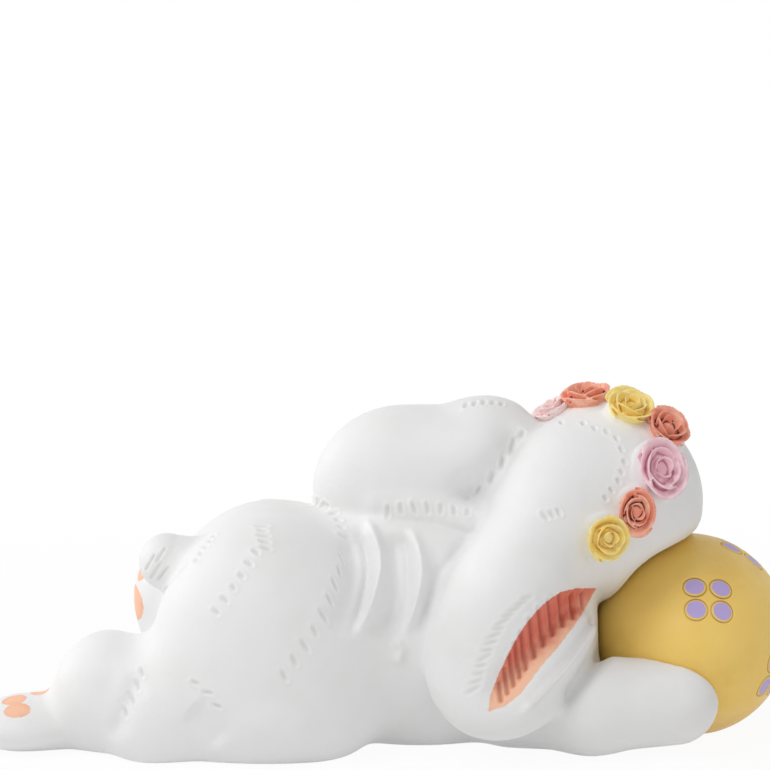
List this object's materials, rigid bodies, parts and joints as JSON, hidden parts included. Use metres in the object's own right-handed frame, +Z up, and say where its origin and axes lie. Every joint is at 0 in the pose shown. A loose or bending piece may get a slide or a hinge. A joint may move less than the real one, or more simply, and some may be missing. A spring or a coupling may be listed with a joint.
{
  "type": "hare figurine",
  "caption": "Lop-eared hare asleep on its belly, hugging a dotted egg and wearing a crown of roses; a hand-painted cast ornament that stands on a shelf or table.",
  "frame": {"origin": "on the ground under the middle of the figurine's bounding box", "axes": "+X from the hind feet to the egg, +Y to the hare's left side, +Z up"},
  "size_m": [0.22, 0.0964, 0.0957],
  "materials": {
    "white_bisque": "matt white over a fired body, with a soft sheen; inner ear and foot pads are painted coral",
    "egg_yellow": "satin egg-yolk paint with lilac dots in engraved rings",
    "rose_coral": "matt coral paint with a dark wash in the folds",
    "rose_yellow": "matt yellow paint with a brown wash in the folds",
    "rose_lilac": "matt lilac-pink paint with a mauve wash in the folds",
    "rose_pink": "matt pale pink paint"
  },
  "bodies": {
    "root": {"trunk": "white_bisque", "head": "white_bisque", "right_foreleg": "white_bisque", "left_foreleg": "white_bisque", "right_ear": "white_bisque", "left_ear": "white_bisque", "right_hind_foot": "white_bisque", "left_hind_foot": "white_bisque", "tail": "white_bisque", "crown_band": "white_bisque", "egg": "egg_yellow", "rose_right_yellow": "rose_yellow", "rose_right_coral": "rose_coral", "rose_lilac": "rose_lilac", "rose_front_coral": "rose_coral", "rose_left_yellow": "rose_yellow", "rose_left_coral": "rose_coral", "rose_left_pink": "rose_pink"}
  },
  "joints": []
}
